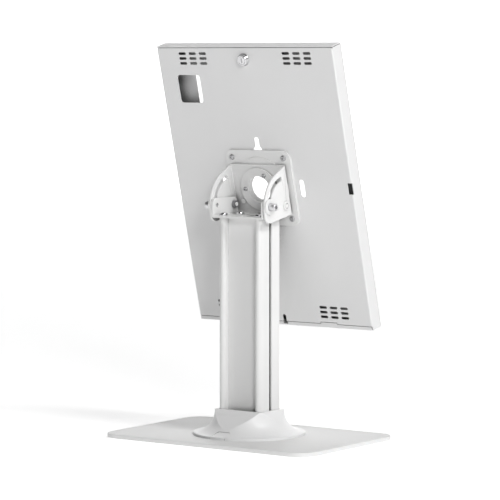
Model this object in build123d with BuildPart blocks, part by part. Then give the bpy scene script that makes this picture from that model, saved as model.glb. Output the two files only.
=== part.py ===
import os
from math import asin, atan2, cos, degrees, hypot, radians, sin, sqrt

from build123d import *

os.makedirs("parts", exist_ok=True)

# A tablet kiosk stand in millimetres: +Z is up, +Y is behind the tablet, and the origin is on the
# surface that the feet stand on, under the middle of the base plate.

# Clearances and allowances
running_clearance = 0.05
thread_clearance = 0.05
hole_clearance = 0.25
cut_overrun = 4.0

# Base plate and its feet
base_width = 299.0
base_depth = 197.0
base_thickness = 5.0
base_corner_radius = 25.0
base_edge_fillet = 0.6
foot_diameter = 22.0
foot_thickness = 1.5
foot_inset = 22.0

# Column of two grooved posts with a cover between them at the front and at the rear
column_y = -2.3
column_height = 258.1
post_gap = 42.9
post_width = 8.94
post_depth = 43.3
post_slit = 4.9
post_lip = 2.0
post_groove_width = 9.0
post_groove_depth = 2.8
port_spacing = 34.2
cover_spacing = 25.6
cover_thickness = 2.0
cover_seat_depth = 1.2
cable_notch_width = 24.0
cable_notch_height = 14.0

# Screws along the posts
column_screw_diameter = 6.0
column_screw_length = 18.0
base_screw_head = 12.0
bracket_screw_head = 10.5
bracket_screw_height = 3.5
column_socket = 4.0

# Flared collar at the foot of the column
collar_height = 30.0
collar_wall = 2.2
collar_rim_radius = 67.0
collar_rim_height = 2.8
collar_flare_radius = 25.5
collar_side_margin = 5.1
collar_rear_margin = 3.35
collar_fit = 0.3
plug_width = 22.4
plug_height = 7.6
plug_corner_radius = 5.0
plug_gap = 0.5

# Folded bracket on top of the column
bracket_sheet = 2.5
bend_radius = 1.0
ear_outer = 37.5
bracket_front = 24.3
bracket_rear = 26.0
ear_top_margin = 8.67
ear_front_radius = 7.9
ear_rear_radius = 6.0
bracket_cable_hole = 24.0

# Pivot and clamp of the tilt
tilt_rest = 14.746
tilt_least = 3.0
tilt_most = 87.0
pivot_forward = 16.34
pivot_rise = 12.23
clamp_radius = 33.35
pivot_bolt_diameter = 5.0
pivot_head_diameter = 10.5
pivot_head_height = 2.4
pivot_boss_diameter = 5.0
pivot_groove_width = 0.9
pivot_groove_depth = 1.3
pivot_washer_diameter = 12.0
pivot_nut_width = 8.0
pivot_nut_height = 4.0
pivot_thread_end = 0.8
clamp_bolt_diameter = 5.0
clamp_washer_diameter = 18.6
clamp_washer_thickness = 1.6
spring_washer_diameter = 9.6
spring_washer_thickness = 1.3
clamp_head_width = 8.8
clamp_head_height = 7.2
clamp_socket = 4.0
clamp_tip_recess = 1.0

# Folded bracket that tilts with the head
head_offset = 17.3
head_rise = 16.8
fan_gap = 0.6
fan_radius = 42.5
fan_foot_angle = -14.6
fan_top_angle = 76.0
fan_corner_radius = 10.0
fan_plate_foot = 30.5
fan_slot_width = 5.6

# Swivel stack behind the tablet case
mount_plate_width = 93.0
mount_plate_thickness = 3.0
mount_plate_corner = 10.0
swivel_disc_radius = 38.5
swivel_disc_thickness = 1.0
swivel_hub_radius = 23.5
swivel_bore_radius = 16.0
swivel_washer_width = 2.6
swivel_washer_space = 0.5
hub_clearance = 0.08
flange_radius = 26.5
flange_thickness = 2.0
flange_screw_diameter = 3.0
flange_screw_head = 5.4
flange_screw_height = 1.8
flange_screw_length = 7.0
flange_screw_start = 60.0
flange_screw_count = 3
flange_socket = 2.0
swivel_reach = 90.0
stop_pin_diameter = 4.0
stop_pin_head = 6.4
stop_pin_head_height = 1.0
stop_pin_across = -27.0
stop_pin_up = -16.0
stop_slot_clearance = 0.3

# Screws of the 75 mm mounting pattern
mount_pattern = 75.0
mount_screw_diameter = 4.0
mount_screw_head = 7.0
mount_screw_height = 2.2
mount_screw_length = 9.0
mount_socket = 2.5
clinch_nut_diameter = 8.0
clinch_nut_height = 2.5

# Tablet case: a folded back shell and a folded front frame
case_width = 254.6
case_top = 173.2
case_foot = 175.1
case_depth = 19.1
case_sheet = 1.2
case_bend_radius = 0.6
seam_gap = 0.8
foot_seam_gap = 0.7
front_gap = 0.3
lip_height = 4.9
lip_inset = 1.7
tongue_across = 65.5
tongue_width = 23.0
tongue_rise = 2.0
hook_width = 18.0
hook_depth = 3.9
hook_slope_height = 2.9
hook_reach = 5.0
relief_depth = 1.7
relief_radius = 1.7
screen_width = 178.0
screen_height = 276.0
screen_corner_radius = 4.0
catch_width = 24.0
catch_length = 7.0
catch_depth = 5.4

# Openings in the back shell
vent_length = 11.0
vent_width = 3.4
vent_pitch_across = 15.0
vent_pitch_up = 6.0
vent_left = -75.3
vent_right = 75.3
vent_top = 158.4
vent_foot = -155.0
camera_across = -86.3
camera_up = 120.8
camera_width = 33.4
camera_height = 34.4
camera_corner_radius = 4.0
keyhole_up = 45.0
keyhole_radius = 6.2
keyhole_neck = 6.4
keyhole_top = 61.9
hanger_across = 56.2
hanger_length = 21.4
hanger_width = 6.6
hanger_up = -0.4
cable_hole_radius = 17.3
foot_slot_across = 1.5
foot_slot_width = 5.0
foot_slot_top = -161.0
lip_slot_width = 6.5
lip_slot_depth = 2.8
edge_notch_width = 6.3
edge_notch_foot = -6.0
edge_notch_top = 8.0
edge_notch_depth = 2.6

# Small holes in the top of the front frame
top_hole_depth = 15.8
top_hole_diameter = 2.0
top_hole_places = (-102.0, 94.0)
top_slot_length = 6.0
top_slot_width = 1.6
top_slot_places = (-76.0, 66.5)

# Cam lock
lock_up = 157.2
lock_flange_diameter = 15.3
lock_flange_height = 1.8
lock_body_diameter = 13.0
lock_reach = 11.6
lock_thread_diameter = 12.0
lock_thread_length = 6.3
lock_nut_width = 16.0
lock_nut_height = 2.4
lock_barrel_diameter = 9.0
lock_barrel_proud = 0.4
key_slot_length = 6.0
key_slot_width = 1.3
key_slot_depth = 5.0
cam_length = 13.0
cam_width = 9.0
cam_tip_width = 6.0
cam_thickness = 1.5
cam_screw_diameter = 3.0
cam_screw_head = 5.6
cam_screw_height = 1.6
cam_screw_length = 6.0
cam_socket = 2.0

# Foam strips that hold the tablet
strip_across = 105.0
strip_width = 12.0
strip_length = 60.0
strip_thickness = 8.4
strip_heights = (45.0, -75.0)

# Shares of a screw head's height
dome_share = 0.6
socket_depth_share = 0.65

# Heights of the column's pieces
plate_top = foot_thickness + base_thickness
column_top = plate_top + column_height
bracket_top = column_top + bracket_sheet
post_x = (post_gap + post_width) / 2
column_half_width = post_gap / 2 + post_width
ear_inner = ear_outer - bracket_sheet

# Pivot, and the frame of the tilting head
pivot_y = column_y - pivot_forward
pivot_z = bracket_top + pivot_rise
tilt_sine = sin(radians(tilt_rest))
tilt_cosine = cos(radians(tilt_rest))
panel_y = pivot_y - head_offset * tilt_cosine + head_rise * tilt_sine
panel_z = pivot_z + head_offset * tilt_sine + head_rise * tilt_cosine
panel = Plane(origin=(0, panel_y, panel_z), x_dir=(-1, 0, 0), z_dir=(0, tilt_cosine, -tilt_sine))
fan_inner = ear_outer + fan_gap
fan_outer = fan_inner + bracket_sheet

# Depths of the swivel stack behind the case
disc_face = mount_plate_thickness + swivel_disc_thickness
fan_front = disc_face + swivel_washer_space
fan_back = fan_front + bracket_sheet
hub_end = fan_back + swivel_washer_space


def head_plane(depth):
    """The plane of the case's back, moved away from the case by depth."""
    return panel.offset(depth)


def side_plane():
    """The head's middle plane, with x away from the case and y up the case."""
    return Plane(origin=panel.origin, x_dir=panel.z_dir, z_dir=(1, 0, 0))


def cross_plane(up):
    """A plane square to the case's height, with x across and y away from the case."""
    return Plane(origin=panel.origin + panel.y_dir * up, x_dir=panel.x_dir, z_dir=-panel.y_dir)


def place_on_head(across, up, depth):
    """The head's frame, moved to a point."""
    origin = panel.origin + panel.x_dir * across + panel.y_dir * up + panel.z_dir * depth
    return Plane(origin=origin, x_dir=panel.x_dir, z_dir=panel.z_dir)


def outward(side, reach, y, z):
    """A frame on one side of the stand whose z axis points away from the middle."""
    return Plane(origin=(side * reach, y, z), x_dir=(0, side, 0), z_dir=(side, 0, 0))


def finish(piece, name):
    """Labels a finished piece and writes it to its file."""
    piece.part.label = name
    export_step(piece.part, "parts/" + name + ".step")


def copies(solid, places):
    """One group that holds a copy of the solid at each place."""
    with BuildPart() as group:
        with Locations(*places):
            add(solid)
    return group


def domed_screw(head, height, diameter, length, socket):
    """A screw with a domed socket head above the XY plane and its shank below it."""
    with BuildPart() as screw:
        with BuildSketch():
            Circle(head / 2)
        extrude(amount=height)
        fillet(screw.edges().group_by(Axis.Z)[-1], height * dome_share)
        with BuildSketch(Plane.XY.offset(height)):
            RegularPolygon(socket / 2, 6, major_radius=False)
        extrude(amount=-height * socket_depth_share, mode=Mode.SUBTRACT)
        with BuildSketch():
            Circle(diameter / 2)
        extrude(amount=-length)
    return screw.part


def ring(outer_diameter, inner_diameter, thickness):
    """A flat ring that stands on the XY plane."""
    with BuildPart() as washer:
        with BuildSketch():
            Circle(outer_diameter / 2)
            Circle(inner_diameter / 2, mode=Mode.SUBTRACT)
        extrude(amount=thickness)
    return washer.part


def hex_nut(width, diameter, height):
    """A hexagonal nut that stands on the XY plane."""
    with BuildPart() as nut:
        with BuildSketch():
            RegularPolygon(width / 2, 6, major_radius=False)
            Circle(diameter / 2 + thread_clearance, mode=Mode.SUBTRACT)
        extrude(amount=height)
    return nut.part


port_places = [
    (side * post_x, column_y + end * port_spacing / 2) for side in (-1, 1) for end in (-1, 1)
]

# Base plate with countersunk holes from below
with BuildPart() as base_plate:
    with BuildSketch(Plane.XY.offset(foot_thickness)):
        RectangleRounded(base_width, base_depth, base_corner_radius)
    extrude(amount=base_thickness)
    fillet(base_plate.edges().group_by(Axis.Z)[-1], base_edge_fillet)
    fillet(base_plate.edges().group_by(Axis.Z)[0], base_edge_fillet)
    with Locations(*[Plane((x, y, foot_thickness), z_dir=(0, 0, -1)) for x, y in port_places]):
        CounterSinkHole(
            column_screw_diameter / 2 + hole_clearance,
            base_screw_head / 2 + hole_clearance,
        )
finish(base_plate, "base_plate")

# Foam feet
with BuildPart() as base_pads:
    with BuildSketch():
        with GridLocations(base_width - 2 * foot_inset, base_depth - 2 * foot_inset, 2, 2):
            Circle(foot_diameter / 2)
    extrude(amount=foot_thickness)
finish(base_pads, "base_pads")

# Countersunk screws that hold the posts to the base plate
with BuildPart() as base_screw:
    with BuildSketch(Plane.XZ):
        with BuildLine():
            Polyline(
                (0, 0),
                (base_screw_head / 2, 0),
                (column_screw_diameter / 2, (base_screw_head - column_screw_diameter) / 2),
                (column_screw_diameter / 2, column_screw_length),
                (0, column_screw_length),
                close=True,
            )
        make_face()
    revolve(axis=Axis.Z)
    with BuildSketch():
        RegularPolygon(column_socket / 2, 6, major_radius=False)
    extrude(amount=(base_screw_head - column_screw_diameter) / 2, mode=Mode.SUBTRACT)
screw_recess = foot_thickness + running_clearance
finish(copies(base_screw.part, [(x, y, screw_recess) for x, y in port_places]), "base_screws")


def post(side):
    """One extruded post with a slot outside, cover seats inside and a screw port at each end."""
    slot_x = side * (post_width - post_lip) / 2
    groove_x = side * ((post_width - post_groove_depth) / 2 - post_lip)
    seat_x = -side * (post_width - cover_seat_depth) / 2
    with BuildPart() as piece:
        with BuildSketch(Plane.XY.offset(plate_top)):
            with Locations((side * post_x, column_y)):
                SlotOverall(post_depth, post_width, rotation=90)
                with Locations((slot_x, 0)):
                    Rectangle(post_lip, post_slit, mode=Mode.SUBTRACT)
                with Locations((groove_x, 0)):
                    Rectangle(post_groove_depth, post_groove_width, mode=Mode.SUBTRACT)
                with Locations((0, -port_spacing / 2), (0, port_spacing / 2)):
                    Circle(column_screw_diameter / 2 + thread_clearance, mode=Mode.SUBTRACT)
                seat_y = (cover_spacing - cover_thickness) / 2
                with Locations((seat_x, -seat_y), (seat_x, seat_y)):
                    seat_width = cover_thickness + 2 * running_clearance
                    Rectangle(cover_seat_depth, seat_width, mode=Mode.SUBTRACT)
        extrude(amount=column_height)
    return piece


finish(post(1), "post_left")
finish(post(-1), "post_right")


def cover(side):
    """A flat cover that slides into the posts' seats."""
    cover_width = post_gap + 2 * (cover_seat_depth - running_clearance)
    with BuildPart() as piece:
        with BuildSketch(Plane.XY.offset(plate_top)):
            with Locations((0, column_y + side * (cover_spacing - cover_thickness) / 2)):
                Rectangle(cover_width, cover_thickness)
        extrude(amount=column_height)
        if side > 0:
            with BuildSketch(Plane.XY.offset(plate_top)):
                with Locations((0, column_y + cover_spacing / 2)):
                    Rectangle(cable_notch_width, 2 * cover_thickness + cut_overrun)
            extrude(amount=cable_notch_height, mode=Mode.SUBTRACT)
    return piece


finish(cover(-1), "front_cover")
finish(cover(1), "rear_cover")

# Collar: a flare cut by four slanted faces that run out into it
flare_x = collar_rim_radius
flare_z = plate_top + collar_rim_height + collar_flare_radius
collar_top = plate_top + collar_height
collar_half_x = column_half_width + collar_side_margin
collar_half_y = post_depth / 2 + collar_rear_margin


def slant(half, inset):
    """The upper end and the tangent point of one slanted face, as distances from the middle."""
    angle = asin(collar_flare_radius / hypot(flare_x - half, collar_top - flare_z))
    angle += atan2(collar_top - flare_z, flare_x - half)
    reach = collar_flare_radius + inset
    tangent = (flare_x - reach * sin(angle), flare_z - reach * cos(angle))
    rise = collar_top - inset - tangent[1]
    return (tangent[0] - rise * cos(angle) / sin(angle), collar_top - inset), tangent


def collar_form(inset):
    """The collar as a solid, or with an inset the hollow inside it."""
    reach = collar_flare_radius + inset
    rim = collar_rim_radius - inset
    rim_z = flare_z - sqrt(reach**2 - (flare_x - rim) ** 2)
    top_z = collar_top - inset
    top_r = flare_x - sqrt(reach**2 - (flare_z - top_z) ** 2)
    middle = radians(45)
    with BuildPart() as form:
        with BuildSketch(Plane.XZ.offset(-column_y)):
            with BuildLine():
                Line((0, plate_top), (rim, plate_top))
                Line((rim, plate_top), (rim, rim_z))
                ThreePointArc(
                    (rim, rim_z),
                    (flare_x - reach * sin(middle), flare_z - reach * cos(middle)),
                    (top_r, top_z),
                )
                Line((top_r, top_z), (0, top_z))
                Line((0, top_z), (0, plate_top))
            make_face()
        revolve(axis=Axis((0, column_y, 0), (0, 0, 1)))
        for half, middle_plane in (
            (collar_half_x, Plane((0, column_y, 0), x_dir=(1, 0, 0), z_dir=(0, -1, 0))),
            (collar_half_y, Plane((0, column_y, 0), x_dir=(0, 1, 0), z_dir=(1, 0, 0))),
        ):
            upper, tangent = slant(half, inset)
            for side in (-1, 1):
                with BuildSketch(middle_plane):
                    with BuildLine():
                        Polyline(
                            (side * upper[0], upper[1]),
                            (side * tangent[0], tangent[1]),
                            (side * tangent[0], upper[1]),
                            close=True,
                        )
                    make_face()
                extrude(amount=collar_rim_radius, both=True, mode=Mode.SUBTRACT)
    return form.part


def plug_arch(gap):
    """The arch through the collar's rear that the plug closes, less a gap all round."""
    reach = plug_height - gap
    with BuildPart() as arch:
        with BuildSketch(Plane.XZ.offset(-column_y - collar_half_y)) as outline:
            with Locations((0, plate_top)):
                Rectangle(plug_width - 2 * gap, reach, align=(Align.CENTER, Align.MIN))
            fillet(outline.vertices().group_by(Axis.Y)[-1], plug_corner_radius - gap)
        extrude(amount=-collar_rim_radius)
    return arch.part


collar_outer = collar_form(0)
collar_inner = collar_form(collar_wall)
arch_hole = plug_arch(0)
arch_plug = plug_arch(plug_gap)

with BuildPart() as collar:
    add(collar_outer)
    add(collar_inner, mode=Mode.SUBTRACT)
    with BuildSketch(Plane.XY.offset(plate_top)):
        with Locations((0, column_y)):
            opening_width = 2 * (column_half_width + collar_fit)
            RectangleRounded(opening_width, post_depth + 2 * collar_fit, post_width / 2)
    extrude(amount=collar_height, mode=Mode.SUBTRACT)
    add(arch_hole, mode=Mode.SUBTRACT)
finish(collar, "collar")

with BuildPart() as cable_plug:
    add(collar_outer)
    add(collar_inner, mode=Mode.SUBTRACT)
    add(arch_plug, mode=Mode.INTERSECT)
finish(cable_plug, "cable_plug")


def folded_line(half, low, high, sheet, inside):
    """The middle line of a folded strip: up one side, across and up the other."""
    middle = half - sheet / 2
    FilletPolyline(
        (-middle, high),
        (-middle, low),
        (middle, low),
        (middle, high),
        radius=inside + sheet / 2,
    )


# Bracket on the column's top, with an ear on each side
with BuildPart() as column_bracket:
    ear_top = pivot_z + ear_top_margin
    bracket_depth = bracket_front + bracket_rear
    with BuildSketch(Plane.XZ.offset(-column_y - bracket_rear)):
        with BuildLine():
            folded_line(ear_outer, column_top + bracket_sheet / 2, ear_top, bracket_sheet, bend_radius)
        trace(line_width=bracket_sheet)
    extrude(amount=bracket_depth)
    with BuildSketch(Plane.YZ) as ear_outline:
        with Locations((column_y - bracket_front, column_top)):
            Rectangle(bracket_depth, ear_top - column_top, align=(Align.MIN, Align.MIN))
        upper_corners = ear_outline.vertices().group_by(Axis.Y)[-1].sort_by(Axis.X)
        fillet(upper_corners[0], ear_front_radius)
        upper_corners = ear_outline.vertices().group_by(Axis.Y)[-1].sort_by(Axis.X)
        fillet(upper_corners[-1], ear_rear_radius)
    extrude(amount=ear_outer + cut_overrun, both=True, mode=Mode.INTERSECT)
    with BuildSketch(Plane.YZ):
        with Locations((pivot_y, pivot_z)):
            Circle(pivot_bolt_diameter / 2 + thread_clearance)
        with Locations((pivot_y + clamp_radius, pivot_z)):
            Circle(clamp_bolt_diameter / 2 + thread_clearance)
    extrude(amount=ear_outer + cut_overrun, both=True, mode=Mode.SUBTRACT)
    with BuildSketch(Plane.XY.offset(column_top)):
        with Locations((0, column_y)):
            Circle(bracket_cable_hole / 2)
        with Locations(*port_places):
            Circle(column_screw_diameter / 2 + hole_clearance)
    extrude(amount=bracket_sheet, mode=Mode.SUBTRACT)
finish(column_bracket, "column_bracket")

bracket_screw = domed_screw(
    bracket_screw_head, bracket_screw_height, column_screw_diameter, column_screw_length, column_socket
)
finish(copies(bracket_screw, [(x, y, bracket_top) for x, y in port_places]), "bracket_screws")

# Pivot hardware, one of each on either side
with BuildPart() as pivot_bolt:
    with BuildSketch():
        Circle(pivot_head_diameter / 2)
    extrude(amount=pivot_head_height)
    with BuildSketch(Plane.XY.offset(pivot_head_height)):
        Circle(pivot_boss_diameter / 2 + pivot_groove_width)
        Circle(pivot_boss_diameter / 2, mode=Mode.SUBTRACT)
    extrude(amount=-pivot_groove_depth, mode=Mode.SUBTRACT)
    with BuildSketch():
        Circle(pivot_bolt_diameter / 2)
    extrude(amount=-(fan_outer - ear_inner + pivot_nut_height + pivot_thread_end))
pivot_head_x = fan_outer + running_clearance
pivot_places = [outward(side, pivot_head_x, pivot_y, pivot_z) for side in (-1, 1)]
finish(copies(pivot_bolt.part, pivot_places), "pivot_bolts")

pivot_bore = pivot_bolt_diameter + 2 * thread_clearance
pivot_washer = ring(pivot_washer_diameter, pivot_bore, fan_gap - running_clearance)
washer_places = [outward(side, ear_outer, pivot_y, pivot_z) for side in (-1, 1)]
finish(copies(pivot_washer, washer_places), "pivot_washers")

pivot_nut = hex_nut(pivot_nut_width, pivot_bolt_diameter, pivot_nut_height)
nut_places = [outward(side, ear_inner - pivot_nut_height, pivot_y, pivot_z) for side in (-1, 1)]
finish(copies(pivot_nut, nut_places), "pivot_nuts")

# Clamp hardware in the fans' slots
clamp_y = pivot_y + clamp_radius
clamp_washer_x = fan_outer + running_clearance
spring_washer_x = clamp_washer_x + clamp_washer_thickness
clamp_head_x = spring_washer_x + spring_washer_thickness
clamp_bore = clamp_bolt_diameter + 2 * thread_clearance
clamp_washer = ring(clamp_washer_diameter, clamp_bore, clamp_washer_thickness)
clamp_places = [outward(side, clamp_washer_x, clamp_y, pivot_z) for side in (-1, 1)]
finish(copies(clamp_washer, clamp_places), "clamp_washers")

spring_washer = ring(spring_washer_diameter, clamp_bore, spring_washer_thickness)
spring_places = [outward(side, spring_washer_x, clamp_y, pivot_z) for side in (-1, 1)]
finish(copies(spring_washer, spring_places), "clamp_spring_washers")

with BuildPart() as clamp_bolt:
    with BuildSketch():
        Circle(clamp_head_width / 2)
    extrude(amount=clamp_head_height)
    chamfer(clamp_bolt.edges().group_by(Axis.Z)[-1], clamp_head_height / 12)
    with BuildSketch(Plane.XY.offset(clamp_head_height)):
        RegularPolygon(clamp_socket / 2, 6, major_radius=False)
    extrude(amount=-clamp_head_height * socket_depth_share, mode=Mode.SUBTRACT)
    with BuildSketch():
        Circle(clamp_bolt_diameter / 2)
    extrude(amount=-(clamp_head_x - ear_inner - clamp_tip_recess))
bolt_places = [outward(side, clamp_head_x, clamp_y, pivot_z) for side in (-1, 1)]
finish(copies(clamp_bolt.part, bolt_places), "clamp_bolts")

# Tilting bracket: a plate with a slotted fan folded back on each side
fan_angle = radians(fan_top_angle)
fan_top_w = head_offset + fan_radius * cos(fan_angle)
fan_top_v = -head_rise + fan_radius * sin(fan_angle)
fan_tip_v = fan_top_v + (fan_top_w - fan_front) * cos(fan_angle) / sin(fan_angle)
fan_foot_w = head_offset + fan_radius * cos(radians(fan_foot_angle))
fan_foot_v = -head_rise + fan_radius * sin(radians(fan_foot_angle))

with BuildPart() as tilt_bracket:
    with BuildSketch(cross_plane(fan_tip_v)):
        with BuildLine():
            folded_line(
                fan_outer,
                fan_front + bracket_sheet / 2,
                head_offset + fan_radius,
                bracket_sheet,
                bend_radius,
            )
        trace(line_width=bracket_sheet)
    extrude(amount=fan_tip_v + fan_plate_foot)
    with BuildSketch(side_plane()) as fan_outline:
        with BuildLine():
            Line((fan_front, -fan_plate_foot), (fan_foot_w, fan_foot_v))
            CenterArc(
                (head_offset, -head_rise), fan_radius, fan_foot_angle, fan_top_angle - fan_foot_angle
            )
            Line((fan_top_w, fan_top_v), (fan_front, fan_tip_v))
            Line((fan_front, fan_tip_v), (fan_front, -fan_plate_foot))
        make_face()
        foot_corner = fan_outline.vertices().sort_by_distance(Vector(fan_foot_w, fan_foot_v))[0]
        fillet(foot_corner, fan_corner_radius)
    extrude(amount=fan_outer + cut_overrun, both=True, mode=Mode.INTERSECT)
    with BuildSketch(side_plane()):
        with Locations((head_offset, -head_rise)):
            Circle(pivot_bolt_diameter / 2 + running_clearance)
        with BuildLine(mode=Mode.PRIVATE) as slot_line:
            CenterArc((head_offset, -head_rise), clamp_radius, tilt_least, tilt_most - tilt_least)
        SlotArc(slot_line.edges()[0], fan_slot_width)
    extrude(amount=fan_outer + cut_overrun, both=True, mode=Mode.SUBTRACT)
    with BuildSketch(head_plane(fan_front)):
        Circle(swivel_hub_radius + hub_clearance)
        with Locations((stop_pin_across, stop_pin_up)):
            Circle(stop_pin_diameter / 2 + thread_clearance)
    extrude(amount=bracket_sheet, mode=Mode.SUBTRACT)
finish(tilt_bracket, "tilt_bracket")

# Stop pin riveted into the tilting bracket
pin_start = mount_plate_thickness + running_clearance
with BuildPart() as swivel_stop_pin:
    with BuildSketch(place_on_head(stop_pin_across, stop_pin_up, pin_start)):
        Circle(stop_pin_diameter / 2)
    extrude(amount=fan_back - pin_start)
    with BuildSketch(place_on_head(stop_pin_across, stop_pin_up, fan_back)):
        Circle(stop_pin_head / 2)
    extrude(amount=stop_pin_head_height)
finish(swivel_stop_pin, "swivel_stop_pin")

# Thin washers on both faces of the tilting bracket
hub_bore = 2 * (swivel_hub_radius + hub_clearance)
washer_outer = hub_bore + 2 * swivel_washer_width
swivel_washer = ring(washer_outer, hub_bore, swivel_washer_space - running_clearance)
front_washer_depth = disc_face + running_clearance
finish(copies(swivel_washer, [head_plane(front_washer_depth)]), "swivel_washer_front")
finish(copies(swivel_washer, [head_plane(fan_back)]), "swivel_washer_rear")

# Mounting plate that swivels with the case, with its disc and hub
stop_radius = hypot(stop_pin_across, stop_pin_up)
stop_angle = degrees(atan2(stop_pin_up, stop_pin_across))
hub_screw_radius = (swivel_hub_radius + swivel_bore_radius) / 2
with BuildPart() as vesa_plate:
    with BuildSketch(head_plane(0)):
        RectangleRounded(mount_plate_width, mount_plate_width, mount_plate_corner)
    extrude(amount=mount_plate_thickness)
    with BuildSketch(head_plane(mount_plate_thickness)):
        Circle(swivel_disc_radius)
        with BuildLine(mode=Mode.PRIVATE) as stop_line:
            CenterArc((0, 0), stop_radius, stop_angle - swivel_reach, 2 * swivel_reach)
        stop_slot_width = stop_pin_diameter + 2 * stop_slot_clearance
        SlotArc(stop_line.edges()[0], stop_slot_width, mode=Mode.SUBTRACT)
    extrude(amount=swivel_disc_thickness)
    with BuildSketch(head_plane(disc_face)):
        Circle(swivel_hub_radius)
    extrude(amount=hub_end - disc_face)
    with BuildSketch(head_plane(0)):
        Circle(swivel_bore_radius)
        with GridLocations(mount_pattern, mount_pattern, 2, 2):
            Circle(mount_screw_diameter / 2 + hole_clearance)
    extrude(amount=hub_end, mode=Mode.SUBTRACT)
    with BuildSketch(head_plane(hub_end)):
        with PolarLocations(hub_screw_radius, flange_screw_count, flange_screw_start):
            Circle(flange_screw_diameter / 2 + thread_clearance)
    extrude(amount=-flange_screw_length, mode=Mode.SUBTRACT)
finish(vesa_plate, "vesa_plate")

# Flange that keeps the tilting bracket on the hub
with BuildPart() as retaining_flange:
    with BuildSketch(head_plane(hub_end)):
        Circle(flange_radius)
        Circle(swivel_bore_radius, mode=Mode.SUBTRACT)
        with PolarLocations(hub_screw_radius, flange_screw_count, flange_screw_start):
            Circle(flange_screw_diameter / 2 + hole_clearance, mode=Mode.SUBTRACT)
    extrude(amount=flange_thickness)
finish(retaining_flange, "retaining_flange")

flange_end = hub_end + flange_thickness
flange_screw = domed_screw(
    flange_screw_head,
    flange_screw_height,
    flange_screw_diameter,
    flange_screw_length,
    flange_socket,
)
flange_turns = [
    radians(flange_screw_start + turn * 360 / flange_screw_count) for turn in range(flange_screw_count)
]
flange_places = [
    place_on_head(hub_screw_radius * cos(turn), hub_screw_radius * sin(turn), flange_end)
    for turn in flange_turns
]
finish(copies(flange_screw, flange_places), "flange_screws")

# Screws and clinch nuts of the mounting pattern
mount_screw = domed_screw(
    mount_screw_head, mount_screw_height, mount_screw_diameter, mount_screw_length, mount_socket
)
pattern_points = [
    (across * mount_pattern / 2, up * mount_pattern / 2) for across in (-1, 1) for up in (-1, 1)
]
mount_places = [place_on_head(u, v, mount_plate_thickness) for u, v in pattern_points]
finish(copies(mount_screw, mount_places), "vesa_screws")

clinch_bore = mount_screw_diameter + 2 * thread_clearance
clinch_nut = ring(clinch_nut_diameter, clinch_bore, clinch_nut_height)
clinch_depth = -case_sheet - clinch_nut_height
clinch_places = [place_on_head(u, v, clinch_depth) for u, v in pattern_points]
finish(copies(clinch_nut, clinch_places), "clinch_nuts")

# Back shell of the case: back and side walls in one folded sheet
case_half = case_width / 2
shell_top = case_top - case_sheet - seam_gap
lip_top = lip_height - case_foot
shell_foot = lip_top + foot_seam_gap
shell_front = case_depth - case_sheet - front_gap
tongue_top = lip_top + tongue_rise
lock_thread_bore = lock_thread_diameter + 2 * thread_clearance

with BuildPart() as back_shell:
    with BuildSketch(cross_plane(shell_top)):
        with BuildLine():
            folded_line(case_half, -case_sheet / 2, -shell_front, case_sheet, case_bend_radius)
        trace(line_width=case_sheet)
    extrude(amount=shell_top + case_foot)
    # Room for the front frame's lip, its tongues and the ends of the fold
    with BuildSketch(head_plane(0)):
        with Locations((0, shell_foot)):
            Rectangle(case_width, lip_height + foot_seam_gap, align=(Align.CENTER, Align.MAX))
        with Locations((-tongue_across, shell_foot), (tongue_across, shell_foot)):
            tongue_room = tongue_width + 2 * foot_seam_gap
            Rectangle(tongue_room, tongue_rise, align=(Align.CENTER, Align.MIN))
        with Locations((-case_half, shell_top), (case_half, shell_top)):
            Circle(relief_radius)
    extrude(amount=-relief_depth, mode=Mode.SUBTRACT)
    # Vents, camera window, hanging holes and cable openings
    with BuildSketch(head_plane(0)):
        for across, up in (
            (vent_left, vent_top),
            (vent_right, vent_top),
            (vent_left, vent_foot),
            (vent_right, vent_foot),
        ):
            with Locations((across, up)):
                with GridLocations(vent_pitch_across, vent_pitch_up, 3, 3):
                    SlotOverall(vent_length, vent_width)
        with Locations((camera_across, camera_up)):
            RectangleRounded(camera_width, camera_height, camera_corner_radius)
        with Locations((0, keyhole_up)):
            Circle(keyhole_radius)
            neck_length = keyhole_top - keyhole_up - keyhole_neck / 2
            Rectangle(keyhole_neck, neck_length, align=(Align.CENTER, Align.MIN))
        with Locations((0, keyhole_top - keyhole_neck / 2)):
            Circle(keyhole_neck / 2)
        with Locations((-hanger_across, hanger_up), (hanger_across, hanger_up)):
            SlotOverall(hanger_length, hanger_width, rotation=90)
        Circle(cable_hole_radius)
        with Locations((0, lock_up)):
            Circle(lock_thread_bore / 2)
        with GridLocations(mount_pattern, mount_pattern, 2, 2):
            Circle(mount_screw_diameter / 2 + hole_clearance)
        with Locations((foot_slot_across, shell_foot)):
            slot_height = foot_slot_top - shell_foot - foot_slot_width / 2
            Rectangle(foot_slot_width, slot_height, align=(Align.CENTER, Align.MIN))
        with Locations((foot_slot_across, foot_slot_top - foot_slot_width / 2)):
            Circle(foot_slot_width / 2)
    extrude(amount=-case_sheet, mode=Mode.SUBTRACT)
    with BuildSketch(head_plane(0)):
        with Locations((case_half, edge_notch_foot)):
            notch_height = edge_notch_top - edge_notch_foot
            Rectangle(edge_notch_width, notch_height, align=(Align.MAX, Align.MIN))
    extrude(amount=-edge_notch_depth, mode=Mode.SUBTRACT)
    # Two joggled hooks that reach inside the front frame's lip
    hook_top = tongue_top + foot_seam_gap
    for across in (-tongue_across, tongue_across):
        with BuildSketch(side_plane().offset(across - hook_width / 2)):
            with BuildLine():
                Polyline(
                    (-case_sheet / 2, hook_top + hook_slope_height),
                    (-case_sheet / 2, hook_top + hook_slope_height - case_sheet),
                    (-hook_depth, hook_top - case_sheet / 2),
                    (-hook_depth, hook_top - hook_reach),
                )
            trace(line_width=case_sheet)
        extrude(amount=hook_width)
finish(back_shell, "back_shell")

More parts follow.
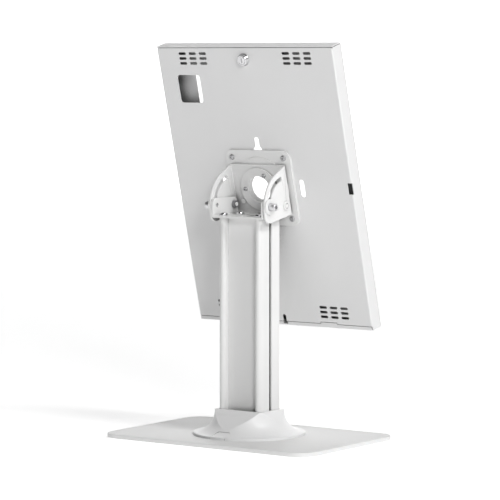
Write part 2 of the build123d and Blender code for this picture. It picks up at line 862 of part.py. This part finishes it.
# Front frame of the case: face, top, foot and lip in one folded sheet
with BuildPart() as front_frame:
    middle_depth = case_depth - case_sheet / 2
    with BuildSketch(side_plane()):
        with BuildLine():
            FilletPolyline(
                (0, case_top - case_sheet / 2),
                (-middle_depth, case_top - case_sheet / 2),
                (-middle_depth, case_sheet / 2 - case_foot),
                (-case_sheet / 2, case_sheet / 2 - case_foot),
                (-case_sheet / 2, lip_top),
                radius=case_bend_radius + case_sheet / 2,
            )
        trace(line_width=case_sheet)
    extrude(amount=case_half, both=True)
    # The foot and its lip are narrower than the face
    with BuildSketch(head_plane(0)):
        for side in (-1, 1):
            with Locations((side * (case_half - lip_inset / 2), -case_foot)):
                Rectangle(lip_inset, 2 * lip_height)
        with Locations((foot_slot_across + (lip_slot_width - foot_slot_width) / 2, lip_top)):
            Rectangle(lip_slot_width, 2 * lip_slot_depth)
    extrude(amount=-(case_depth - case_sheet), mode=Mode.SUBTRACT)
    with BuildSketch(head_plane(-case_depth)):
        with Locations((0, (case_top - case_foot) / 2)):
            RectangleRounded(screen_width, screen_height, screen_corner_radius)
    extrude(amount=case_sheet, mode=Mode.SUBTRACT)
    with BuildSketch(head_plane(0)):
        with Locations((-tongue_across, lip_top), (tongue_across, lip_top)):
            Rectangle(tongue_width, tongue_rise, align=(Align.CENTER, Align.MIN))
    extrude(amount=-case_sheet)
    with BuildSketch(head_plane(-catch_depth - case_sheet / 2)):
        with Locations((0, case_top - case_sheet)):
            Rectangle(catch_width, catch_length, align=(Align.CENTER, Align.MAX))
    extrude(amount=case_sheet)
    with BuildSketch(cross_plane(case_top)):
        with Locations(*[(across, -top_hole_depth) for across in top_hole_places]):
            Circle(top_hole_diameter / 2)
        with Locations(*[(across, -top_hole_depth) for across in top_slot_places]):
            SlotOverall(top_slot_length, top_slot_width)
    extrude(amount=case_sheet, mode=Mode.SUBTRACT)
finish(front_frame, "front_frame")

# Lock body with its flange outside and its thread inside the shell
lock_bore = lock_barrel_diameter + 2 * running_clearance
with BuildPart() as lock_body:
    with BuildSketch(place_on_head(0, lock_up, 0)):
        Circle(lock_flange_diameter / 2)
    extrude(amount=lock_flange_height)
    with BuildSketch(place_on_head(0, lock_up, lock_flange_height)):
        Circle(lock_body_diameter / 2)
    extrude(amount=lock_reach - lock_flange_height)
    with BuildSketch(place_on_head(0, lock_up, 0)):
        Circle(lock_thread_diameter / 2)
    extrude(amount=-lock_thread_length)
    with BuildSketch(place_on_head(0, lock_up, lock_reach)):
        Circle(lock_bore / 2)
    extrude(amount=-(lock_reach + lock_thread_length), mode=Mode.SUBTRACT)
finish(lock_body, "lock_body")

lock_nut = hex_nut(lock_nut_width, lock_thread_diameter, lock_nut_height)
lock_nut_place = place_on_head(0, lock_up, -case_sheet - lock_nut_height)
finish(copies(lock_nut, [lock_nut_place]), "lock_nut")

# Key barrel
cam_face = -lock_thread_length - running_clearance
with BuildPart() as lock_barrel:
    with BuildSketch(place_on_head(0, lock_up, cam_face)):
        Circle(lock_barrel_diameter / 2)
    extrude(amount=lock_reach + lock_barrel_proud - cam_face)
    with BuildSketch(place_on_head(0, lock_up, lock_reach + lock_barrel_proud)):
        Rectangle(key_slot_width, key_slot_length)
    extrude(amount=-key_slot_depth, mode=Mode.SUBTRACT)
    with BuildSketch(place_on_head(0, lock_up, cam_face)):
        Circle(cam_screw_diameter / 2 + thread_clearance)
    extrude(amount=cam_screw_length, mode=Mode.SUBTRACT)
finish(lock_barrel, "lock_barrel")

# Cam that swings behind the front frame's catch when the lock is turned
with BuildPart() as lock_cam:
    with BuildSketch(place_on_head(0, lock_up, cam_face)):
        Circle(cam_width / 2)
        with Locations((-cam_length + cam_tip_width / 2, 0)):
            Circle(cam_tip_width / 2)
        make_hull()
        Circle(cam_screw_diameter / 2 + thread_clearance, mode=Mode.SUBTRACT)
    extrude(amount=-cam_thickness)
finish(lock_cam, "lock_cam")

cam_screw = domed_screw(
    cam_screw_head, cam_screw_height, cam_screw_diameter, cam_screw_length, cam_socket
)
cam_back = place_on_head(0, lock_up, cam_face - cam_thickness)
cam_screw_place = Plane(origin=cam_back.origin, x_dir=panel.x_dir, z_dir=-panel.z_dir)
finish(copies(cam_screw, [cam_screw_place]), "lock_cam_screw")

# Foam strips between the back of the shell and the tablet
with BuildPart() as tablet_pads:
    with BuildSketch(head_plane(-case_sheet)):
        with Locations(*[(side * strip_across, up) for side in (-1, 1) for up in strip_heights]):
            Rectangle(strip_width, strip_length)
    extrude(amount=-strip_thickness)
finish(tablet_pads, "tablet_pads")
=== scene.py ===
from math import cos, radians, sin

import bpy
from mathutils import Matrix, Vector


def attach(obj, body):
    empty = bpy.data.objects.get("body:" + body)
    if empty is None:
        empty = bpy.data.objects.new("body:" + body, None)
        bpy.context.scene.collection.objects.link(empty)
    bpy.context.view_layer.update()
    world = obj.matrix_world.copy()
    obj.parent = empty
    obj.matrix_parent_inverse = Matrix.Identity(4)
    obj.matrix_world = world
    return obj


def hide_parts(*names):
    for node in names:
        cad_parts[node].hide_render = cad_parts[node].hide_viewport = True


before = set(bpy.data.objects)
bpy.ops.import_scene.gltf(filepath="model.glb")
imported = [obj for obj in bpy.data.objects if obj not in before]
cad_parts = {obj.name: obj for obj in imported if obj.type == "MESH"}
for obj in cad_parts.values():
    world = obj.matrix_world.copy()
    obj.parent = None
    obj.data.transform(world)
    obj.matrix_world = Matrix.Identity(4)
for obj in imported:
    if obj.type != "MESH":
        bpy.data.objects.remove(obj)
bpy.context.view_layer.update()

# Camera at the photograph's angle
CAMERA_PLACE = Vector((-1.8493, 2.5749, 0.4519))
CAMERA_YAW = radians(-54.348)
CAMERA_PITCH = radians(-4.070)
SENSOR = 36.0
LENS = 192.66
FARTHEST_VIEW = 50

view = bpy.data.cameras.new("camera")
view.sensor_width = SENSOR
view.lens = LENS
view.clip_end = FARTHEST_VIEW
camera = bpy.data.objects.new("camera", view)
camera.location = CAMERA_PLACE
sight = Vector((
    cos(CAMERA_YAW) * cos(CAMERA_PITCH),
    sin(CAMERA_YAW) * cos(CAMERA_PITCH),
    sin(CAMERA_PITCH),
))
camera.rotation_euler = sight.to_track_quat("-Z", "Y").to_euler()
bpy.context.scene.collection.objects.link(camera)
bpy.context.scene.camera = camera
bpy.context.scene.view_settings.view_transform = "Standard"

# Sockets of a Mix node that blends colours
MIX_FACTOR = 0
MIX_FIRST = 6
MIX_SECOND = 7
MIX_RESULT = 2

# Painted shade in gaps: how dark a colour is painted in a gap, and where on the scale
# from 0, closed, to 1, open, the painted shade ends
GAP_SHADE = (0.02, 0.02, 0.02)
GAP_CLOSED = 0.05
GAP_OPEN = 0.33
HEAD_GAP_OPEN = 0.55
GAP_SAMPLES = 8
NO_SHADE = (1, 1, 1)


# Node helpers
def new_material(name):
    """A material, its node tree and its shader."""
    material = bpy.data.materials.new(name)
    material.use_nodes = True
    tree = material.node_tree
    return material, tree, tree.nodes["Principled BSDF"]


def noise(tree, scale, detail=3.0, roughness=0.5, stretch=(1, 1, 1)):
    """Noise in the object's own coordinates, scaled per metre."""
    place = tree.nodes.new("ShaderNodeTexCoord")
    spread = tree.nodes.new("ShaderNodeMapping")
    spread.inputs["Scale"].default_value = stretch
    grain = tree.nodes.new("ShaderNodeTexNoise")
    grain.inputs["Scale"].default_value = scale
    grain.inputs["Detail"].default_value = detail
    grain.inputs["Roughness"].default_value = roughness
    tree.links.new(place.outputs["Object"], spread.inputs["Vector"])
    tree.links.new(spread.outputs["Vector"], grain.inputs["Vector"])
    return grain.outputs["Fac"]


def ramp(tree, factor, low, high, start=0.3, end=0.7):
    """A linear blend between two colours."""
    blend = tree.nodes.new("ShaderNodeValToRGB")
    blend.color_ramp.elements[0].position = start
    blend.color_ramp.elements[0].color = (*low, 1)
    blend.color_ramp.elements[1].position = end
    blend.color_ramp.elements[1].color = (*high, 1)
    tree.links.new(factor, blend.inputs["Fac"])
    return blend.outputs["Color"]


def spread_value(tree, factor, low, high):
    """A number between low and high."""
    span = tree.nodes.new("ShaderNodeMapRange")
    span.inputs["To Min"].default_value = low
    span.inputs["To Max"].default_value = high
    tree.links.new(factor, span.inputs["Value"])
    return span.outputs["Result"]


def bump(tree, shader, heights, distance):
    """Relief from one or more height signals, chained."""
    normal = None
    for height in heights:
        relief = tree.nodes.new("ShaderNodeBump")
        relief.inputs["Distance"].default_value = distance
        relief.inputs["Strength"].default_value = 1.0
        tree.links.new(height, relief.inputs["Height"])
        if normal is not None:
            tree.links.new(normal, relief.inputs["Normal"])
        normal = relief.outputs["Normal"]
    tree.links.new(normal, shader.inputs["Normal"])


def paint_gap_shade(tree, colour, reach, open_from):
    """Paints shade into a colour in gaps, slots and inner corners, where soft light doesn't
    reach.
    """
    hidden = tree.nodes.new("ShaderNodeAmbientOcclusion")
    hidden.samples = GAP_SAMPLES
    hidden.inputs["Distance"].default_value = reach
    surface = tree.nodes.new("ShaderNodeNewGeometry")
    tree.links.new(surface.outputs["True Normal"], hidden.inputs["Normal"])
    shade = ramp(tree, hidden.outputs["AO"], GAP_SHADE, NO_SHADE, GAP_CLOSED, open_from)
    product = tree.nodes.new("ShaderNodeMix")
    product.data_type = "RGBA"
    product.blend_type = "MULTIPLY"
    product.inputs[MIX_FACTOR].default_value = 1.0
    tree.links.new(colour, product.inputs[MIX_FIRST])
    tree.links.new(shade, product.inputs[MIX_SECOND])
    return product.outputs[MIX_RESULT]


def darker(shade, share):
    """A colour with each channel times a share."""
    return tuple(channel * share for channel in shade)


# Materials. Noise scales are per metre, relief heights in metres.
COAT_MOTTLE = 18.0
COAT_MOTTLE_SHARE = 0.985
COAT_GLOSS = 60.0
COAT_GLOSS_SPREAD = 0.03
COAT_PEEL = 900.0
COAT_GRAIN = 3500.0
COAT_RELIEF = 0.000012


def powder_coat(name, shade, rough=0.42, peel=1.0, reach=0.025, open_from=GAP_OPEN):
    """Satin powder coat: a faint mottle, fine orange peel, slightly uneven gloss and, where
    reach is given, shade painted into gaps.
    """
    material, tree, shader = new_material(name)
    cloud = noise(tree, COAT_MOTTLE, 4.0)
    colour = ramp(tree, cloud, darker(shade, COAT_MOTTLE_SHARE), shade)
    # Shade painted into gaps, slots and inner corners
    if reach:
        colour = paint_gap_shade(tree, colour, reach, open_from)
    tree.links.new(colour, shader.inputs["Base Color"])
    gloss = spread_value(
        tree,
        noise(tree, COAT_GLOSS, 2.0),
        rough - COAT_GLOSS_SPREAD,
        rough + COAT_GLOSS_SPREAD,
    )
    tree.links.new(gloss, shader.inputs["Roughness"])
    heights = [noise(tree, COAT_PEEL, 2.0), noise(tree, COAT_GRAIN, 1.0)]
    bump(tree, shader, heights, COAT_RELIEF * peel)
    return material


PLASTIC_MOTTLE = 12.0
PLASTIC_MOTTLE_SHARE = 0.99
PLASTIC_GLOSS = 90.0
PLASTIC_SMOOTHER = 0.02
PLASTIC_ROUGHER = 0.04
PLASTIC_SPARK = 5000.0
PLASTIC_RELIEF = 0.000006


def moulded_plastic(name, shade, rough=0.38, reach=0.02, open_from=GAP_OPEN):
    """Satin moulded plastic with a very fine spark texture and shade painted into its gaps.
    """
    material, tree, shader = new_material(name)
    cloud = noise(tree, PLASTIC_MOTTLE)
    colour = ramp(tree, cloud, darker(shade, PLASTIC_MOTTLE_SHARE), shade)
    # Shade painted into gaps, slots and inner corners
    colour = paint_gap_shade(tree, colour, reach, open_from)
    tree.links.new(colour, shader.inputs["Base Color"])
    gloss = spread_value(
        tree,
        noise(tree, PLASTIC_GLOSS, 2.0),
        rough - PLASTIC_SMOOTHER,
        rough + PLASTIC_ROUGHER,
    )
    tree.links.new(gloss, shader.inputs["Roughness"])
    bump(tree, shader, [noise(tree, PLASTIC_SPARK, 1.0)], PLASTIC_RELIEF)
    return material


METAL_CLOUD = 160.0
METAL_CLOUD_SHARE = 0.86
METAL_MARKS = 900.0
METAL_STRETCH = (1, 1, 5)
METAL_RELIEF = 0.000004


def metal(name, shade, rough=0.2, scratch=0.06):
    """Plated metal with fine turning marks and uneven polish."""
    material, tree, shader = new_material(name)
    shader.inputs["Metallic"].default_value = 1.0
    cloud = noise(tree, METAL_CLOUD)
    colour = ramp(tree, cloud, darker(shade, METAL_CLOUD_SHARE), shade)
    tree.links.new(colour, shader.inputs["Base Color"])
    marks = noise(tree, METAL_MARKS, 2.0, stretch=METAL_STRETCH)
    polish = spread_value(tree, marks, rough - scratch, rough + scratch)
    tree.links.new(polish, shader.inputs["Roughness"])
    bump(tree, shader, [marks], METAL_RELIEF)
    return material


FOAM_CELLS = 1800.0
FOAM_LIGHTER_SHARE = 1.7
FOAM_CLOUD = 400.0
FOAM_ROUGH_LOW = 0.8
FOAM_ROUGH_HIGH = 0.95
FOAM_RELIEF = 0.00012


def foam(name, shade):
    """Closed-cell foam with an open speckle."""
    material, tree, shader = new_material(name)
    cells = tree.nodes.new("ShaderNodeTexVoronoi")
    cells.inputs["Scale"].default_value = FOAM_CELLS
    place = tree.nodes.new("ShaderNodeTexCoord")
    tree.links.new(place.outputs["Object"], cells.inputs["Vector"])
    lighter = tuple(channel * FOAM_LIGHTER_SHARE for channel in shade)
    colour = ramp(tree, cells.outputs["Distance"], shade, lighter)
    tree.links.new(colour, shader.inputs["Base Color"])
    matt = spread_value(tree, noise(tree, FOAM_CLOUD), FOAM_ROUGH_LOW, FOAM_ROUGH_HIGH)
    tree.links.new(matt, shader.inputs["Roughness"])
    bump(tree, shader, [cells.outputs["Distance"]], FOAM_RELIEF)
    return material


WHITE = (0.83, 0.83, 0.825)
SHELL_WHITE = (0.81, 0.81, 0.81)
PLASTIC_WHITE = (0.89, 0.89, 0.89)

# Every coat but base_coat, and both plastics, has shade painted into its gaps; head_coat
# paints it over a wider range of openness, shell_coat over a longer reach
coat = powder_coat("white_coat", WHITE)
head_coat = powder_coat("head_coat", WHITE, open_from=HEAD_GAP_OPEN)
shell_coat = powder_coat("shell_coat", SHELL_WHITE, 0.45, reach=0.08)
base_coat = powder_coat("base_coat", WHITE, 0.5, 1.4, reach=None)
post_coat = powder_coat("post_coat", WHITE, 0.36, 0.7)
plastic = moulded_plastic("collar_plastic", PLASTIC_WHITE)
nylon = moulded_plastic("nylon", (0.74, 0.74, 0.7), 0.5)
dark_plating = metal("dark_plating", (0.33, 0.33, 0.34), 0.22)
satin_plating = metal("satin_plating", (0.84, 0.84, 0.85), 0.5)
light_plating = metal("light_plating", (0.56, 0.56, 0.57), 0.42)
chrome = metal("polished_chrome", (0.82, 0.82, 0.83), 0.1, 0.04)
zinc = metal("zinc_plating", (0.62, 0.62, 0.64), 0.34)
black_foam = foam("black_foam", (0.012, 0.012, 0.012))

FINISHES = {
    "base_plate": base_coat,
    "base_pads": black_foam,
    "base_screws": zinc,
    "post_left": post_coat,
    "post_right": post_coat,
    "front_cover": post_coat,
    "rear_cover": post_coat,
    "collar": plastic,
    "cable_plug": plastic,
    "column_bracket": head_coat,
    "bracket_screws": chrome,
    "pivot_bolts": coat,
    "pivot_washers": nylon,
    "pivot_nuts": dark_plating,
    "clamp_washers": coat,
    "clamp_spring_washers": zinc,
    "clamp_bolts": satin_plating,
    "tilt_bracket": head_coat,
    "swivel_stop_pin": coat,
    "swivel_washer_front": nylon,
    "swivel_washer_rear": nylon,
    "vesa_plate": coat,
    "retaining_flange": head_coat,
    "flange_screws": light_plating,
    "vesa_screws": light_plating,
    "clinch_nuts": zinc,
    "back_shell": shell_coat,
    "front_frame": shell_coat,
    "lock_body": chrome,
    "lock_nut": zinc,
    "lock_barrel": chrome,
    "lock_cam": zinc,
    "lock_cam_screw": zinc,
    "tablet_pads": black_foam,
}

# Width of the rounded edges, in metres, where a node has them
EDGES = {
    "base_plate": 0.0004,
    "tilt_bracket": 0.00025,
    "vesa_plate": 0.0003,
    "retaining_flange": 0.00025,
    "back_shell": 0.00015,
    "front_frame": 0.00015,
    "collar": 0.0003,
    "cable_plug": 0.0002,
    "clamp_washers": 0.0002,
    "pivot_bolts": 0.0002,
    "clamp_bolts": 0.0002,
    "lock_body": 0.0007,
    "lock_barrel": 0.0003,
    "post_left": 0.0002,
    "post_right": 0.0002,
    "rear_cover": 0.0001,
    "pivot_nuts": 0.0002,
}
SMOOTH_ANGLE = radians(32)
EDGE_SEGMENTS = 2
WELD_DISTANCE = 0.000002


def dress(piece, name):
    """Gives a piece the finish and the rounded edges of a node."""
    piece.data.materials.clear()
    piece.data.materials.append(FINISHES[name])
    if name in EDGES:
        weld = piece.modifiers.new("weld", "WELD")
        weld.merge_threshold = WELD_DISTANCE
        edge = piece.modifiers.new("edge", "BEVEL")
        edge.width = EDGES[name]
        edge.segments = EDGE_SEGMENTS
        edge.limit_method = "ANGLE"
        edge.angle_limit = SMOOTH_ANGLE
        edge.harden_normals = True


for name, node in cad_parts.items():
    dress(node, name)

# The lock stands less proud of the case than its solids
CASE_POINT = Vector((0, -0.031094, 0.29998))
CASE_NORMAL = Vector((0, 0.96706371, -0.25453444))
LOCK_FLANGE = 0.0018
LOCK_SHARE = 0.35


def low_copy(node_name, body):
    """A copy of a piece of the lock, lower above its flange, shown instead of it."""
    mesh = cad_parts[node_name].data.copy()
    mesh.name = node_name + "_seen"
    for vertex in mesh.vertices:
        proud = (vertex.co - CASE_POINT).dot(CASE_NORMAL) - LOCK_FLANGE
        vertex.co -= CASE_NORMAL * max(proud, 0) * (1 - LOCK_SHARE)
    piece = bpy.data.objects.new(node_name + "_seen", mesh)
    bpy.context.scene.collection.objects.link(piece)
    dress(piece, node_name)
    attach(piece, body)
    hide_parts(node_name)


low_copy("lock_body", "case")
low_copy("lock_barrel", "lock")

# Floor and backdrop
FLOOR_HALF = 7.0
FLOOR_GLOW = 0.53
BACKDROP_PLACE = Vector((3.2, -4.6, 0.0))
BACKDROP_RISE = Vector((0, 0, 7.0))
BACKDROP_GLOW = 1.05
PAPER_ROUGH = 0.9
PAPER_CLOUD = 3.0
PAPER_LOW = (0.86, 0.86, 0.86)
PAPER_HIGH = (0.88, 0.88, 0.88)


def glowing_paper(name, glow):
    """White paper that also glows, so that it stays white around the object."""
    material, tree, shader = new_material(name)
    shader.inputs["Roughness"].default_value = PAPER_ROUGH
    shader.inputs["Emission Strength"].default_value = glow
    shader.inputs["Emission Color"].default_value = (1, 1, 1, 1)
    tint = ramp(tree, noise(tree, PAPER_CLOUD), PAPER_LOW, PAPER_HIGH)
    tree.links.new(tint, shader.inputs["Base Color"])
    return material


def stage_sheet(name, corners, material):
    """A flat sheet of the set, outside the object."""
    mesh = bpy.data.meshes.new(name)
    mesh.from_pydata(corners, [], [(0, 1, 2, 3)])
    mesh.materials.append(material)
    sheet = bpy.data.objects.new(name, mesh)
    bpy.context.scene.collection.objects.link(sheet)


floor_corners = [
    (-FLOOR_HALF, -FLOOR_HALF, 0),
    (FLOOR_HALF, -FLOOR_HALF, 0),
    (FLOOR_HALF, FLOOR_HALF, 0),
    (-FLOOR_HALF, FLOOR_HALF, 0),
]
stage_sheet("floor", floor_corners, glowing_paper("floor_paper", FLOOR_GLOW))

across = Vector((-sight.y, sight.x, 0)).normalized() * FLOOR_HALF
corner_left = BACKDROP_PLACE - across
corner_right = BACKDROP_PLACE + across
backdrop_corners = [
    corner_left,
    corner_right,
    corner_right + BACKDROP_RISE,
    corner_left + BACKDROP_RISE,
]
stage_sheet("backdrop", backdrop_corners, glowing_paper("backdrop_paper", BACKDROP_GLOW))

# Lights
OBJECT_MIDDLE = Vector((0.0, 0.0, 0.25))
LIGHT_SIZE = 1.0
KEY_PLACE = Vector((-2.72, 0.48, 3.05))
KEY_POWER = 68
SIDE_PLACE = Vector((-3.04, 2.56, 1.77))
SIDE_POWER = 60
WORLD_STRENGTH = 0.01


def area_light(name, place, power):
    """A soft square light aimed at the object."""
    data = bpy.data.lights.new(name, "AREA")
    data.size = LIGHT_SIZE
    data.energy = power
    lamp = bpy.data.objects.new(name, data)
    lamp.location = place
    lamp.rotation_euler = (OBJECT_MIDDLE - place).to_track_quat("-Z", "Y").to_euler()
    bpy.context.scene.collection.objects.link(lamp)


area_light("key", KEY_PLACE, KEY_POWER)
area_light("side", SIDE_PLACE, SIDE_POWER)

world = bpy.data.worlds.new("studio")
bpy.context.scene.world = world
world.use_nodes = True
background = world.node_tree.nodes["Background"]
background.inputs["Color"].default_value = (1, 1, 1, 1)
background.inputs["Strength"].default_value = WORLD_STRENGTH
